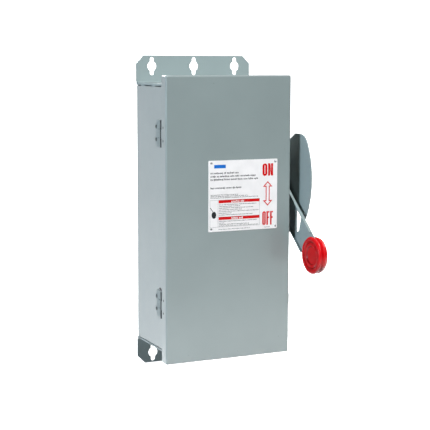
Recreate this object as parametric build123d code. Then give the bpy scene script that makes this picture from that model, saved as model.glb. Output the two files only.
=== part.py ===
from build123d import *
from math import cos, hypot, radians, sin, tan
import os

# A side-operated, fusible safety switch: a sheet-steel case with an overlapping hinged cover,
# a swinging handle on its right side, and a three-pole switch and fuse assembly inside.
# Millimetres. +Z is up, +X is to the right seen from the front, and the front faces -Y.
# The origin is the middle of the mounting plane, the back face that lies on the wall.

# ---- driving dimensions ----
SHEET = 1.9                 # 14-gauge steel of the case, the arm and the guard
CASE_HALF_W = 109.1
CASE_HALF_H = 228.75
CASE_FRONT = -145.7         # front face of the case's inward lips
CASE_LIP = 14.0
COVER_HALF_W = 116.5
COVER_HALF_H = 242.5
COVER_FRONT = -152.0
COVER_FLANGE = 19.2
COVER_SHEET = 2.0
SKIRT = 4.0                 # the end walls turn down over the sides by this much
SEAM = 1.5
GAP = 0.3
WELD_TABS = (-122.0, -74.0, -26.0)
BEND = 2.0                  # inside radius where the mounting flanges turn up
FLANGE_HALF_W = 110.0       # mounting flanges
FLANGE_TOP = 275.5
FLANGE_CHAMFER = 13.8
KEYHOLE_X = 80.4
KEYHOLE_Z = 257.0
KEYHOLE_R = 8.75
KEYHOLE_SLOT_W = 8.3
KEYHOLE_SLOT_L = 31.7
KNOCKOUT_RADII = (11.1, 14.1, 17.4)
NAMEPLATE_X = (-39.5, 90.7)
NAMEPLATE_Z = (-20.5, 100.2)
NAMEPLATE_T = 0.6
SEAL_Z = -150.0             # ears for a seal or lock, low on the right side
SEAL_TAB_X = 125.8
SEAL_HOLE_X = 120.8
SEAL_HOLE_R = 3.25

HINGE_X = -112.1
HINGE_Y = -123.5
LEAF_REAR = -96.0
HINGE_Z = 145.5
KNUCKLE_R = 3.0
KNUCKLE_HALF = 7.5          # half of the middle knuckle
HINGE_HALF = 22.5
HINGE_PIN_R = 1.5

PIVOT_Y = -58.0             # handle shaft
PIVOT_Z = 63.0
SHAFT_R = 6.0
RUNNING = 0.08              # radial clearance of every shaft in its bearing
OFF_ANGLE = 39.0            # the arm points this far below the horizontal when the switch is off
ARM_LENGTH = 199.0          # pivot to grip centre
ARM_HALF_W = 25.2
ARM_BACK = 126.5            # tips of the arm's flanges
ARM_FACE = 132.0            # outer face of the arm's web
GRIP_R = 32.4
GRIP_PART = ARM_FACE - SHEET / 2      # where the grip's halves meet
GRIP_INNER_DEPTH = 7.0      # of each half, from the parting plane
GRIP_OUTER_DEPTH = 10.4
GRIP_RIVETS = (-ARM_LENGTH - 9.0, -ARM_LENGTH + 9.0)
GRIP_RIVET_DEPTH = 2.6
HUB_INNER = 113.0
BUSHING_R = 10.0
GUARD_X = 138.5             # inner face of the guard plate
GUARD_R = 128.8
GUARD_CORNER_R = 28.0
GUARD_REAR = -30.0
GUARD_LOW = -35.5
GUARD_HIGH = 141.0
GUARD_REAR_TOP = 86.0
GUARD_SLOT_R = 126.5
GUARD_SLOT_BACK = -135.7
GUARD_SLOT_LOW = -32.0
GUARD_SCREWS = [(-19.0, z) for z in (-20.0, 20.0, 60.0)]

CRANK_R = 26.0              # both cranks
ROTOR_Y = -70.0
ROTOR_Z = 111.0
STUB_R = 5.0
CRANK_PIN_R = 3.0
FRAME_X = 84.0              # mechanism frame, in from the right wall
LINK_X = 93.0
BLADE_REACH = 36.0
CAM_X = (70.5, 73.5)
CAM_R = 58.0
SHIELD_Y = -86.0            # pivot of the line shield
SHIELD_Z = 192.0
SHIELD_PIN_R = 2.0
POLES = (-66.0, -18.0, 30.0)
BASE_TOP = -20.0            # front face of both insulating bases
BASE_BACK = -8.0
BASE_X = (-92.0, 58.0)
SWITCH_BASE_Z = (58.0, 190.0)
FUSE_BASE_Z = (-136.0, 54.0)
STRIP = 3.0                 # copper strip thickness
FUSE_Z = -20.0
FUSE_LENGTH = 140.0
FUSE_R = 13.5
LUG_WIRE_R = 4.5
LUG_DEPTH = 22.0
LINE_LUG_Z = (163.0, 183.0)
LOAD_LUG_Z = (-128.0, -108.0)

WALL_INNER = CASE_HALF_W - SHEET
COVER_INNER = COVER_FRONT + COVER_SHEET
STRIP_TOP = BASE_TOP - STRIP
FUSE_Y = STRIP_TOP - 15.2


# ---- helpers ----
def block(x, y, z):
    """A box between two limits on each axis."""
    size = [abs(b - a) for a, b in (x, y, z)]
    return Pos(*[(a + b) / 2 for a, b in (x, y, z)]) * Box(*size)


def rod_x(x, y, z, radius):
    """A cylinder along X between two limits."""
    return Pos(sum(x) / 2, y, z) * Rot(0, 90, 0) * Cylinder(radius, abs(x[1] - x[0]))


def rod_y(x, y, z, radius):
    """A cylinder along Y between two limits."""
    return Pos(x, sum(y) / 2, z) * Rot(90, 0, 0) * Cylinder(radius, abs(y[1] - y[0]))


def rod_z(x, y, z, radius):
    """A cylinder along Z between two limits."""
    return Pos(x, y, sum(z) / 2) * Cylinder(radius, abs(z[1] - z[0]))


def plate_x(sketch, x):
    """A plate from a sketch of (y, z) points, between two X limits."""
    return extrude(Plane.YZ.offset(x[0]) * sketch, amount=x[1] - x[0])


def plate_y(sketch, back, thickness):
    """A plate from a sketch of (x, z) points, from its back face towards the front."""
    return extrude(Plane.XZ.offset(-back) * sketch, amount=thickness)


def outline(points, radius=0.0):
    """A polygon, with its corners rounded if a radius is given."""
    shape = make_face(Polyline(*points, close=True))
    return fillet(shape.vertices(), radius) if radius else shape


def bar(start, end, half_width):
    """A sketch of a round-ended bar between two points."""
    (x0, y0), (x1, y1) = start, end
    middle = Pos((x0 + x1) / 2, (y0 + y1) / 2)
    turn = Vector(x1 - x0, y1 - y0, 0).get_signed_angle(Vector(1, 0, 0), Vector(0, 0, -1))
    return middle * Rot(0, 0, turn) * SlotCenterToCenter(hypot(x1 - x0, y1 - y0), 2 * half_width)


def swung(radius, degrees, centre=(PIVOT_Y, PIVOT_Z)):
    """The (y, z) point at a radius from a pivot, so many degrees above straight forward."""
    angle = radians(degrees)
    return centre[0] - radius * cos(angle), centre[1] + radius * sin(angle)


def round_head(radius, height):
    """A low dome, flat side down, that stands on Z=0."""
    ball = (radius**2 + height**2) / (2 * height)
    dome = Pos(0, 0, height - ball) * Sphere(ball)
    return dome & Pos(0, 0, height / 2) * Cylinder(radius + 1, height)


def rivet(radius, head_radius, head_height, grip):
    """A rivet whose head stands above Z=0 and whose shank and tail reach down through a grip."""
    tail = Pos(0, 0, -grip) * Rot(180, 0, 0) * round_head(head_radius * 0.8, head_height * 0.8)
    return round_head(head_radius, head_height) + Pos(0, 0, -grip / 2) * Cylinder(radius, grip) + tail


def pan_screw(radius, head_radius, head_height, length):
    """A slotted screw whose head stands above Z=0."""
    head = round_head(head_radius, head_height)
    slot = Pos(0, 0, head_height) * Box(3 * head_radius, head_radius * 0.25, head_height * 0.9)
    return head - slot + Pos(0, 0, -length / 2) * Cylinder(radius, length)


FACING_RIGHT = Rot(0, 90, 0)
FACING_LEFT = Rot(0, -90, 0)
FACING_FRONT = Rot(90, 0, 0)

parts = {}


# ---- the case ----
def keyhole():
    """A round hole with a slot above it and below it."""
    shape = Circle(KEYHOLE_R) + SlotOverall(KEYHOLE_SLOT_L, KEYHOLE_SLOT_W, rotation=90)
    corners = [
        v for v in shape.vertices()
        if abs(hypot(v.X, v.Y) - KEYHOLE_R) < 0.01 and abs(v.X) < KEYHOLE_R / 2 + 0.5
    ]
    return fillet(corners, 1.5)


def case_wrapper():
    """The back and both sides in one bent sheet, with lips turned in at the front."""
    half_h = CASE_HALF_H - SKIRT - SEAM
    z = (-half_h, half_h)
    outer = block((-CASE_HALF_W, CASE_HALF_W), (CASE_FRONT, 0), z)
    outer = fillet(outer.edges().filter_by(Axis.Z), 3.0)
    inner = block((-WALL_INNER, WALL_INNER), (CASE_FRONT + SHEET, -SHEET), z)
    inner = fillet(inner.edges().filter_by(Axis.Z), 1.1)
    mouth = CASE_HALF_W - CASE_LIP
    shell = outer - inner - block((-mouth, mouth), (CASE_FRONT - 1, CASE_FRONT + SHEET + 1), z)
    back_top = CASE_HALF_H - SHEET - GAP
    shell += block((-WALL_INNER + GAP, WALL_INNER - GAP), (-SHEET, 0), (-back_top, back_top))
    shell -= rod_x((WALL_INNER - 5, CASE_HALF_W + 5), PIVOT_Y, PIVOT_Z, BUSHING_R)
    for y, z_hole in hinge_rivet_places():
        shell -= rod_x((-CASE_HALF_W - 1, -WALL_INNER + 1), y, z_hole, 2.05)
    for y, z_hole in GUARD_SCREWS:
        shell -= rod_x((WALL_INNER - 1, CASE_HALF_W + 1), y, z_hole, 2.55)
    return shell


def end_wall():
    """The top wall: a pan that closes the case, and the mounting flange that rises from its back."""
    top = CASE_HALF_H
    under = top - SHEET
    pan = block((-CASE_HALF_W, CASE_HALF_W), (CASE_FRONT, 0), (top - SKIRT, top))
    long_edges = pan.edges().filter_by(Axis.Y).group_by(Axis.Z)[-1]
    pan = fillet(long_edges, 2.5)
    pan -= block((-WALL_INNER, WALL_INNER), (CASE_FRONT + SHEET, 1), (top - SKIRT - 1, under))
    lip_x = CASE_HALF_W - CASE_LIP - 0.3
    pan += block((-lip_x, lip_x), (CASE_FRONT, CASE_FRONT + SHEET), (top - CASE_LIP - SHEET, under))
    for side in (-1, 1):
        tab_x = (side * (WALL_INNER - SHEET), side * WALL_INNER)
        for y in WELD_TABS:
            pan += block(tab_x, (y - 8, y + 8), (top - CASE_LIP - SHEET, under))
    for x in (-62, 0, 62):
        for radius in KNOCKOUT_RADII:
            ring = rod_z(x, -62, (top - 0.6, top + 1), radius)
            pan -= ring - rod_z(x, -62, (top - 1, top + 2), radius - 0.8)
    flange = Rectangle(2 * FLANGE_HALF_W, FLANGE_TOP - top - 1.2, align=(Align.CENTER, Align.MAX))
    flange = Pos(0, FLANGE_TOP) * flange
    flange = chamfer(flange.vertices().group_by(Axis.Y)[-1], FLANGE_CHAMFER)
    flange = fillet(flange.vertices().group_by(Axis.Y)[0], 1.5)
    flange += Pos(0, (top + under) / 2 + 2) * Rectangle(2 * CASE_HALF_W, SHEET + 4)
    for x in (-KEYHOLE_X, 0, KEYHOLE_X):
        flange -= Pos(x, KEYHOLE_Z) * keyhole()
    across = (-CASE_HALF_W, CASE_HALF_W)
    bend = block(across, (-SHEET - BEND, -SHEET), (top, top + BEND))
    bend -= rod_x(across, -SHEET - BEND, top + BEND, BEND)
    return pan + plate_y(flange, 0, SHEET) + bend


# ---- the cover ----
def cover():
    """The front tray, whose flanges overhang the case on all four sides."""
    rear = COVER_FRONT + COVER_FLANGE
    shell = block((-COVER_HALF_W, COVER_HALF_W), (COVER_FRONT, rear), (-COVER_HALF_H, COVER_HALF_H))
    front_edges = shell.edges().group_by(Axis.Y)[0]
    corner_edges = shell.edges().filter_by(Axis.Y)
    shell = fillet(front_edges + corner_edges, 2.5)
    in_w = COVER_HALF_W - COVER_SHEET
    in_h = COVER_HALF_H - COVER_SHEET
    shell -= block((-in_w, in_w), (COVER_INNER, rear + 1), (-in_h, in_h))
    shell += seal_tab(COVER_HALF_W - COVER_SHEET, rear)
    for x, z in nameplate_rivet_places():
        shell -= rod_y(x, (COVER_FRONT - 1, COVER_INNER + 1), z, 1.25)
    for y, z in cover_rivet_places():
        shell -= rod_x((-COVER_HALF_W - 1, -in_w + 1), y, z, 1.55)
    return shell


def seal_tab(x_inner, y_rear):
    """A small ear with a hole for a seal or lock, low on the right side."""
    tab = outline([(x_inner, SEAL_Z - 15), (SEAL_TAB_X, SEAL_Z - 9),
                   (SEAL_TAB_X, SEAL_Z + 9), (x_inner, SEAL_Z + 15)])
    tab -= Pos(SEAL_HOLE_X, SEAL_Z) * Circle(SEAL_HOLE_R)
    return plate_y(tab, y_rear, COVER_SHEET)


def gasket():
    """The foam ring on the cover that seals against the case's lips."""
    outer = Rectangle(2 * 107.6, 2 * 227.2)
    inner = Rectangle(2 * 97.2, 2 * 215.0)
    ring = fillet(outer.vertices(), 4.0) - fillet(inner.vertices(), 2.0)
    return plate_y(ring, CASE_FRONT - 0.3, CASE_FRONT - 0.3 - COVER_INNER)


def nameplate_rivet_places():
    """Four rivets, close inside the nameplate's corners."""
    return [(x, z) for x in (-34.4, 86.6) for z in (-16.5, 95.5)]


def nameplate():
    """The blank data plate on the cover."""
    x, z = NAMEPLATE_X, NAMEPLATE_Z
    plate = Pos(sum(x) / 2, sum(z) / 2) * RectangleRounded(x[1] - x[0], z[1] - z[0], 1.5)
    for place in nameplate_rivet_places():
        plate -= Pos(*place) * Circle(1.25)
    return plate_y(plate, COVER_FRONT, NAMEPLATE_T)


# ---- the hinges ----
def hinge_rivet_places():
    """The (y, z) places of the four rivets that hold the box leaves."""
    return [(LEAF_REAR + 1, side * HINGE_Z + step) for side in (-1, 1) for step in (-10.8, 10.8)]


def cover_rivet_places():
    """The (y, z) places of the four small rivets that hold the cover leaves."""
    return [(-139.3, side * HINGE_Z + step) for side in (-1, 1) for step in (-11.0, 11.0)]


def box_leaf(z_mid):
    """The strap on the case's left side with the two outer knuckles."""
    face = -CASE_HALF_W
    strap = Pos((HINGE_Y + LEAF_REAR) / 2, 0) * Rectangle(LEAF_REAR - HINGE_Y, 2 * HINGE_HALF)
    for step in (-10.8, 10.8):
        strap += Pos(LEAF_REAR + 1, step) * Circle(6)
    for step in (-KNUCKLE_HALF, KNUCKLE_HALF):
        strap -= Pos(HINGE_Y + 9, step) * Rectangle(24, 1.0)
    leaf = plate_x(strap, (face - 1.6, face))
    leaf += rod_z(HINGE_X, HINGE_Y, (-HINGE_HALF, HINGE_HALF), KNUCKLE_R)
    middle = (-KNUCKLE_HALF, KNUCKLE_HALF)
    leaf -= rod_z(HINGE_X, HINGE_Y, middle, KNUCKLE_R + 0.5)
    leaf -= rod_z(HINGE_X, HINGE_Y, (-HINGE_HALF - 1, HINGE_HALF + 1), HINGE_PIN_R + 0.02)
    leaf = Pos(0, 0, z_mid) * leaf
    for y, z in hinge_rivet_places():
        leaf -= rod_x((face - 3, face + 1), y, z, 2.05)
    return leaf


def cover_leaf(z_mid):
    """The leaf inside the cover's left flange with the middle knuckle."""
    x = (-COVER_HALF_W + COVER_SHEET, -COVER_HALF_W + COVER_SHEET + 1.5)
    half = KNUCKLE_HALF - 0.3
    leaf = block(x, (-147.5, -133.2), (-21.5, 21.5))
    leaf += block(x, (-134, HINGE_Y), (-half, half))
    leaf += rod_z(HINGE_X, HINGE_Y, (-half, half), KNUCKLE_R)
    leaf -= rod_z(HINGE_X, HINGE_Y, (-HINGE_HALF, HINGE_HALF), HINGE_PIN_R + RUNNING)
    leaf = Pos(0, 0, z_mid) * leaf
    for y, z in cover_rivet_places():
        leaf -= rod_x((x[0] - 1, x[1] + 1), y, z, 1.55)
    return leaf


def straight_pin(z_mid):
    """A pin with a small round head."""
    pin = rod_z(HINGE_X, HINGE_Y, (-HINGE_HALF, HINGE_HALF + 0.1), HINGE_PIN_R)
    head = Pos(HINGE_X, HINGE_Y, HINGE_HALF) * round_head(2.4, 1.4)
    return Pos(0, 0, z_mid) * (pin + head)


def bent_pin(z_mid):
    """A pin whose top end is bent back, so that it can't drop out."""
    foot = (HINGE_X, HINGE_Y, -HINGE_HALF)
    knee = (HINGE_X, HINGE_Y, HINGE_HALF + 2.6)
    tip = (HINGE_X, HINGE_Y + 10.5, HINGE_HALF + 5.0)
    path = FilletPolyline(foot, knee, tip, radius=2.4)
    return Pos(0, 0, z_mid) * sweep(Plane(foot, z_dir=(0, 0, 1)) * Circle(HINGE_PIN_R), path)


# ---- the handle ----
IN_ARM = Pos(0, PIVOT_Y, PIVOT_Z) * Rot(OFF_ANGLE, 0, 0)


def lock_window():
    """The padlock window through the arm, upright when the switch is off."""
    along_top = [swung(s, -OFF_ANGLE) for s in (108.0, 126.0)]
    rise = 19.5
    lift = (-rise * sin(radians(OFF_ANGLE)), rise * cos(radians(OFF_ANGLE)))
    top_rear, top_front = [(y + lift[0], z + lift[1]) for y, z in along_top]
    return outline([(-149.0, -29.0), (-149.0, 6.0), top_rear, top_front, (-159.5, -29.0)], 3.0)


def handle_arm():
    """A channel of bent plate from the shaft to the grip, with its flanges towards the case."""
    web = bar((0, 0), (-ARM_LENGTH, 0), ARM_HALF_W)
    arm = plate_x(web, (ARM_BACK, ARM_FACE))
    arm = fillet(arm.edges().group_by(Axis.X)[-1], 1.2)
    pocket = bar((ARM_HALF_W, 0), (-ARM_LENGTH - ARM_HALF_W, 0), ARM_HALF_W - SHEET)
    arm -= plate_x(pocket, (ARM_BACK - 1, ARM_FACE - SHEET))
    flat_ends = block((ARM_BACK - 1, ARM_FACE - SHEET), (-168, -260), (-40, 40))
    flat_ends += block((ARM_BACK - 1, ARM_FACE - SHEET), (-12, 60), (-40, 40))
    arm = IN_ARM * (arm - flat_ends)
    arm -= plate_x(lock_window(), (ARM_BACK, ARM_FACE + 1))
    arm -= rod_x((ARM_BACK, ARM_FACE + 1), PIVOT_Y, PIVOT_Z, SHAFT_R + 0.02)
    for along in GRIP_RIVETS:
        arm -= IN_ARM * rod_x((ARM_BACK, ARM_FACE + 1), along, 0, 2.55)
    return arm


def grip_half(radius, depth):
    """One half of the round grip, as a turned disc with a rim, a raised ring and a hollow centre.

    It stands on Z=0, where the halves meet, and faces up."""
    waist = radius - 2.6
    floor = depth - 2.9
    points = [(0, 0), (waist, 0), (radius, 4.2), (waist + 0.2, depth), (25.4, depth), (23.6, floor + 0.6),
              (22.2, floor + 0.6), (20.6, depth - 0.6), (17.0, depth - 0.4), (14.3, floor), (0, floor)]
    profile = make_face(Polyline(*points, close=True))
    soft = [v for v in profile.vertices() if v.X > waist + 0.1]
    profile = fillet(soft, 1.6)
    edges = [v for v in profile.vertices() if 10 < v.X < waist - 3]
    profile = fillet(edges, 0.7)
    return revolve(Plane.XZ * profile, Axis.Z)


def grip(side):
    """A grip half in its place: side -1 is towards the case, and takes the rivets' blind ends."""
    if side < 0:
        half = Pos(GRIP_PART, -ARM_LENGTH, 0) * FACING_LEFT * grip_half(GRIP_R, GRIP_INNER_DEPTH)
        drill = (ARM_FACE - SHEET - GRIP_RIVET_DEPTH, ARM_FACE)
    else:
        half = Pos(GRIP_PART, -ARM_LENGTH, 0) * FACING_RIGHT * grip_half(GRIP_R - 0.6, GRIP_OUTER_DEPTH)
        drill = (ARM_FACE - 1, ARM_FACE + GRIP_OUTER_DEPTH)
        for along in GRIP_RIVETS:
            half -= rod_x((ARM_FACE + GRIP_RIVET_DEPTH, ARM_FACE + GRIP_OUTER_DEPTH), along, 0, 4.4)
    half -= plate_x(bar((0, 0), (-ARM_LENGTH, 0), ARM_HALF_W + 0.1), (ARM_FACE - SHEET, ARM_FACE))
    for along in GRIP_RIVETS:
        half -= rod_x(drill, along, 0, 2.55)
    return IN_ARM * half


def grip_rivets():
    """Two rivets that clamp the grip halves on the arm's end, with their heads on the outer half."""
    inner = ARM_FACE - SHEET - GRIP_RIVET_DEPTH
    outer = ARM_FACE + GRIP_RIVET_DEPTH
    pair = []
    for along in GRIP_RIVETS:
        shank = rod_x((inner, outer), along, 0, 2.5)
        head = Pos(outer, along, 0) * FACING_RIGHT * round_head(4.2, 1.3)
        pair.append(IN_ARM * (shank + head))
    return Compound(pair)


def hexagon(across_flats):
    """A hexagon sketch by its size across flats."""
    return RegularPolygon(across_flats / 2, 6, major_radius=False)


def handle_hub():
    """The collar between the wall bushing and the arm."""
    hub = rod_x((HUB_INNER, ARM_FACE - SHEET), PIVOT_Y, PIVOT_Z, 11.0)
    return hub - rod_x((HUB_INNER - 1, ARM_FACE), PIVOT_Y, PIVOT_Z, SHAFT_R + 0.02)


def handle_nut():
    """The nut that holds the arm on its shaft."""
    nut = plate_x(Pos(PIVOT_Y, PIVOT_Z) * hexagon(19), (ARM_FACE, ARM_FACE + 5.2))
    return nut - rod_x((ARM_FACE - 1, ARM_FACE + 7), PIVOT_Y, PIVOT_Z, SHAFT_R + 0.02)


def handle_shaft():
    """The shaft from the mechanism frame through the wall to the guard, with a chamfered end."""
    shaft = rod_x((FRAME_X - 4, GUARD_X + SHEET + 3), PIVOT_Y, PIVOT_Z, SHAFT_R)
    shaft = chamfer(shaft.edges().group_by(Axis.X)[-1], 1.0)
    return shaft


def shaft_bushing():
    """The flanged bush in the case's right wall."""
    bush = rod_x((WALL_INNER - 4, CASE_HALF_W + 3), PIVOT_Y, PIVOT_Z, BUSHING_R - 0.02)
    bush += rod_x((CASE_HALF_W, CASE_HALF_W + 3), PIVOT_Y, PIVOT_Z, 14.0)
    return bush - rod_x((WALL_INNER - 5, CASE_HALF_W + 4), PIVOT_Y, PIVOT_Z, SHAFT_R + RUNNING)


def bushing_nut():
    """The nut that holds the bush, inside the case."""
    nut = plate_x(Pos(PIVOT_Y, PIVOT_Z) * hexagon(26), (WALL_INNER - 3.5, WALL_INNER))
    return nut - rod_x((WALL_INNER - 5, WALL_INNER + 1), PIVOT_Y, PIVOT_Z, BUSHING_R)


def guard_face():
    """The guard's fan shape, with a slot for padlocks whose top runs along the arm in its off position."""
    fan = outline([(GUARD_REAR, GUARD_REAR_TOP), (-128.0, GUARD_HIGH), (-200.0, GUARD_HIGH),
                   (-200.0, -45.7), (-125.3, -45.7), (-115.9, GUARD_LOW), (GUARD_REAR, GUARD_LOW)])
    disc = Pos(PIVOT_Y, PIVOT_Z) * Circle(GUARD_R)
    fan = fan & (disc + Pos(GUARD_REAR + 15, 20) * Rectangle(60, 200))
    top_front = [v for v in fan.vertices() if v.X < -150 and v.Y > 130]
    fan = fillet(top_front, GUARD_CORNER_R)
    rim = [swung(GUARD_SLOT_R, -angle) for angle in (48.3, 42.0, 35.8)]
    slope = tan(radians(OFF_ANGLE)) * (GUARD_SLOT_BACK - rim[-1][0])
    top_rear = (GUARD_SLOT_BACK, rim[-1][1] + slope)
    slot = outline([(GUARD_SLOT_BACK, GUARD_SLOT_LOW), *rim, top_rear], 1.2)
    return fan - slot


def handle_guard():
    """The fixed crescent guard, with a return at its rear and a foot on the case."""
    x = (GUARD_X, GUARD_X + SHEET)
    guard = plate_x(guard_face(), x)
    z = (GUARD_LOW, GUARD_REAR_TOP)
    guard += block((CASE_HALF_W, x[1]), (GUARD_REAR, GUARD_REAR + SHEET), z)
    guard += block((CASE_HALF_W, CASE_HALF_W + SHEET), (GUARD_REAR, -8), z)
    outer = [
        e for e in guard.edges().filter_by(Axis.Z)
        if e.center().X > x[1] - 0.01 and e.center().Y > GUARD_REAR + SHEET - 0.01
    ]
    guard = fillet(outer, 1.6)
    guard -= rod_x((GUARD_X - 1, x[1] + 1), PIVOT_Y, PIVOT_Z, SHAFT_R + RUNNING)
    for y, z_hole in GUARD_SCREWS:
        guard -= rod_x((CASE_HALF_W - 1, CASE_HALF_W + SHEET + 1), y, z_hole, 2.55)
    return guard


def retaining_ring():
    """The ring on the shaft's end, outside the guard."""
    x = (GUARD_X + SHEET + 0.4, GUARD_X + SHEET + 1.6)
    ring = Circle(9) - Circle(SHAFT_R + 0.02) - Pos(0, -6) * Rectangle(5, 9)
    return plate_x(Pos(PIVOT_Y, PIVOT_Z) * ring, x)


# ---- the operating mechanism ----
def crank(centre, shaft_radius, x):
    """A crank plate in its off position, with holes for its shaft and its pin."""
    pin = swung(CRANK_R, -OFF_ANGLE, centre)
    plate = bar(centre, pin, 7.5) + Pos(*centre) * Circle(11)
    plate -= Pos(*centre) * Circle(shaft_radius + 0.02)
    plate -= Pos(*pin) * Circle(CRANK_PIN_R + 0.02)
    return plate_x(plate, x)


def crank_pin(centre, x):
    """A crank pin."""
    pin = swung(CRANK_R, -OFF_ANGLE, centre)
    return rod_x(x, pin[0], pin[1], CRANK_PIN_R)


def link():
    """The bar that makes the rotor follow the handle, with equal cranks at both ends."""
    low = swung(CRANK_R, -OFF_ANGLE)
    high = swung(CRANK_R, -OFF_ANGLE, (ROTOR_Y, ROTOR_Z))
    shape = bar(low, high, 6.5)
    for place in (low, high):
        shape -= Pos(*place) * Circle(CRANK_PIN_R + RUNNING)
    return plate_x(shape, (LINK_X, LINK_X + 3))


def mechanism_frame():
    """The bent plate that carries the inner ends of both shafts, with its foot on the back."""
    side = outline([(-SHEET, 36), (-82, 36), (-92, 46), (-92, 128), (-80, 140), (-SHEET, 140)])
    side -= Pos(PIVOT_Y, PIVOT_Z) * Circle(SHAFT_R + RUNNING)
    side -= Pos(ROTOR_Y, ROTOR_Z) * Circle(STUB_R + RUNNING)
    frame = plate_x(side, (FRAME_X, FRAME_X + 2))
    foot = block((FRAME_X - 18, FRAME_X + 1), (-SHEET - 2, -SHEET), (36, 140))
    for z in (46, 130):
        foot -= rod_y(FRAME_X - 9, (-10, 0), z, 2.55)
    return frame + foot


def operating_spring():
    """A torsion spring round the handle shaft, between the frame and the crank."""
    pitch = 2.0
    turns = 2
    radius = 9.0
    start = FRAME_X + 3.1
    coil = Helix(pitch=pitch, height=pitch * turns, radius=radius)
    section = Plane(origin=coil @ 0, z_dir=coil % 0) * Circle(0.9)
    spring = sweep(section, coil)
    return Pos(start, PIVOT_Y, PIVOT_Z) * FACING_RIGHT * spring


def crossbar():
    """The moulded bar that carries the moving blades."""
    bar_x = (-84.0, 66.0)
    body = rod_x(bar_x, ROTOR_Y, ROTOR_Z, 12.0)
    for x in POLES:
        body += rod_x((x - 11, x + 11), ROTOR_Y, ROTOR_Z, 14.0)
    for x in POLES:
        body -= blade(x)
    for x in ((-85, -76), (58, 67)):
        body -= rod_x(x, ROTOR_Y, ROTOR_Z, STUB_R)
    return body


def blade(x):
    """One double-ended moving blade, upright when the switch is on."""
    tips = [swung(reach, 90 - 2 * OFF_ANGLE, (ROTOR_Y, ROTOR_Z)) for reach in (-BLADE_REACH, BLADE_REACH)]
    flat = bar(tips[0], tips[1], 7.0)
    return plate_x(flat, (x - 1.5, x + 1.5))


def interlock_cam():
    """The sector that fills the cover hook's throat while the switch is on."""
    centre = (ROTOR_Y, ROTOR_Z)
    high = 46.5 - 2 * OFF_ANGLE
    low = high - 30
    wedge = outline([centre, swung(90, high, centre), swung(90, low, centre)])
    sector = wedge & Pos(*centre) * Circle(CAM_R)
    sector += Pos(*centre) * Circle(9)
    sector -= Pos(*centre) * Circle(STUB_R + 0.02)
    return plate_x(sector, CAM_X)


def interlock_hook():
    """The hook on the cover that the cam catches, riveted inside the cover."""
    shape = outline([(COVER_INNER, 158), (-104, 158), (-104, 150),
                     (-98, 150), (-98, 170), (COVER_INNER, 170)])
    hook = plate_x(shape, CAM_X)
    return hook + block((CAM_X[0] - 14, CAM_X[1]), (COVER_INNER, COVER_INNER + 2), (154, 174))


# ---- the switch and fuse assembly ----
def insulating_base(z, rib_ranges, rib_top):
    """A moulded base on feet, with ribs between the poles."""
    base = block(BASE_X, (BASE_TOP, BASE_BACK), z)
    ribs_at = [(a + b) / 2 for a, b in zip(POLES, POLES[1:])]
    for x in (BASE_X[0] + 1.5, *ribs_at, BASE_X[1] - 1.5):
        for rib_z in rib_ranges:
            base += block((x - 1.25, x + 1.25), (rib_top, BASE_TOP + 1), rib_z)
    for x in (BASE_X[0] + 10, BASE_X[1] - 10):
        for foot_z in (z[0] + 12, z[1] - 12):
            base += rod_y(x, (BASE_BACK - 1, -SHEET), foot_z, 7)
            base -= rod_y(x, (BASE_TOP - 1, -SHEET + 1), foot_z, 2.6)
    return base


def base_screws():
    """The eight screws that hold both bases to the back of the case."""
    screws = []
    for low, high in (SWITCH_BASE_Z, FUSE_BASE_Z):
        for x in (BASE_X[0] + 10, BASE_X[1] - 10):
            for z in (low + 12, high - 12):
                place = Pos(x, BASE_TOP, z) * FACING_FRONT
                screws.append(place * pan_screw(2.4, 4.5, 2.6, -SHEET - BASE_TOP))
    return Compound(screws)


def jaw(x, z_mid):
    """Two spring leaves that the blade's end slides between."""
    leaves = None
    for side in (-1, 1):
        leaf = block((x + side * 1.8, x + side * 3.0), (-77, STRIP_TOP + 0.5), (z_mid - 8, z_mid + 8))
        leaves = leaf if leaves is None else leaves + leaf
    return leaves


def strip(x, z):
    """A copper strip on the base."""
    return block((x - 8, x + 8), (STRIP_TOP, BASE_TOP), z)


def fuse_clip(x, z_mid):
    """A round spring clip, open to the front, on a strip."""
    ring = Circle(15.0) - Circle(FUSE_R + 0.05)
    ring -= outline([(0, 0), (-26, -22), (26, -22)])
    clip = extrude(Plane.XY.offset(z_mid - 7) * Pos(x, FUSE_Y) * ring, amount=14)
    return clip + block((x - 6, x + 6), (STRIP_TOP - 0.6, STRIP_TOP), (z_mid - 7, z_mid + 7))


def line_contact(x):
    """Lug strip and line jaw of one pole."""
    return strip(x, (141, 184)) + jaw(x, 149)


def load_contact(x):
    """Load jaw and upper fuse clip of one pole."""
    return strip(x, (30, 81)) + jaw(x, 73) + fuse_clip(x, 41)


def fuse_contact(x):
    """Lower fuse clip and lug strip of one pole."""
    return strip(x, (-130, -70)) + fuse_clip(x, -81)


def wire_lug(x, z):
    """An aluminium block with a wire bore along Z and a screw hole in its front."""
    lug = block((x - 8, x + 8), (STRIP_TOP - LUG_DEPTH, STRIP_TOP), z)
    lug = fillet(lug.edges().filter_by(Axis.Z).group_by(Axis.Y)[0], 2.0)
    lug -= rod_z(x, STRIP_TOP - 9, (z[0] - 1, z[1] + 1), LUG_WIRE_R)
    lug -= rod_y(x, (STRIP_TOP - LUG_DEPTH - 1, STRIP_TOP - 9), sum(z) / 2, 3.55)
    return lug


def lug_screw(x, z):
    """A set screw with a hexagon socket."""
    screw = rod_y(x, (STRIP_TOP - LUG_DEPTH - 2, STRIP_TOP - 14.5), z, 3.5)
    socket = plate_y(Pos(x, z) * hexagon(3.2), STRIP_TOP - LUG_DEPTH + 2, 5)
    return screw - socket


def fuse_tube(x):
    """The insulating tube of a cartridge fuse."""
    return rod_z(x, FUSE_Y, (FUSE_Z - 56, FUSE_Z + 56), FUSE_R - 0.7)


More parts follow.
